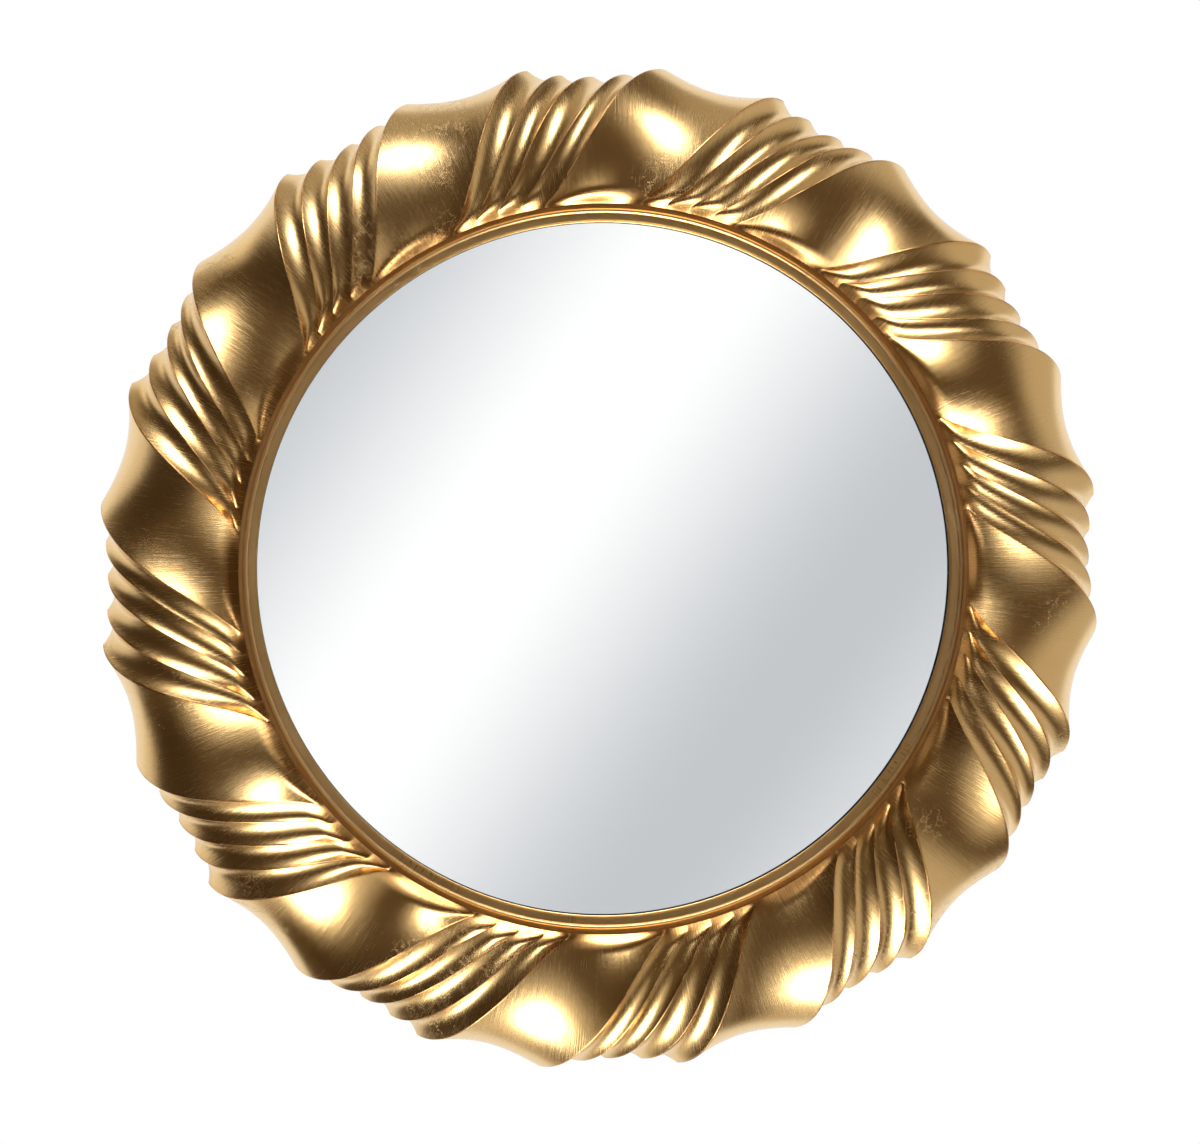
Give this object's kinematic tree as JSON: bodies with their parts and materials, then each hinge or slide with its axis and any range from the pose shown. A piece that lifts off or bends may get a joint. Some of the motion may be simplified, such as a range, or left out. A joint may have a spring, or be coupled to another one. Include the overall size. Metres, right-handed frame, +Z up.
{
  "type": "round wall mirror",
  "caption": "Round wall mirror with a thick carved and gilded rope-twist frame, slim inner sight ring, screwed backboard and swinging D-ring hangers.",
  "frame": {"origin": "centre of the round mirror on the wall plane that the back pads touch", "axes": "+Z up, +X to the viewer's right, the mirror looks towards -Y and +Y points into the wall"},
  "size_m": [0.9916, 0.0959, 0.9916],
  "materials": {
    "gilding": "burnished gold leaf over red-brown bole on carved wood, satin gloss, lightly worn",
    "gilding_sight": "gold leaf over bole on a turned moulding, a little redder in the recesses",
    "felt_black": "black felt glazing tape",
    "mirror": "silvered clear float glass",
    "cork": "natural cork",
    "backing": "grey-brown soft board",
    "plywood": "raw birch plywood",
    "screw_zinc": "zinc-plated steel screws",
    "strap_steel": "zinc-plated pressed steel",
    "ring_steel": "zinc-plated steel wire",
    "felt_pad": "brown wool felt"
  },
  "bodies": {
    "frame": {"carved_frame": "gilding", "sight_ring": "gilding_sight", "glazing_tape": "felt_black", "mirror_glass": "mirror", "setting_blocks": "cork", "backing_sheet": "backing", "backboard": "plywood", "backboard_screws": "screw_zinc", "hanger_plate_left": "strap_steel", "hanger_plate_right": "strap_steel", "hanger_screws": "screw_zinc", "wall_bumpers": "felt_pad"},
    "ring_left": {"d_ring_left": "ring_steel"},
    "ring_right": {"d_ring_right": "ring_steel"}
  },
  "joints": [
    {"name": "ring_left_swing", "type": "hinge", "parent": "frame", "child": "ring_left", "pos_m": [-0.25, -0.00535, 0.36665], "axis": [-1, 0, 0], "range_deg": [0, 172]},
    {"name": "ring_right_swing", "type": "hinge", "parent": "frame", "child": "ring_right", "pos_m": [0.25, -0.00535, 0.36665], "axis": [-1, 0, 0], "range_deg": [0, 172]}
  ]
}
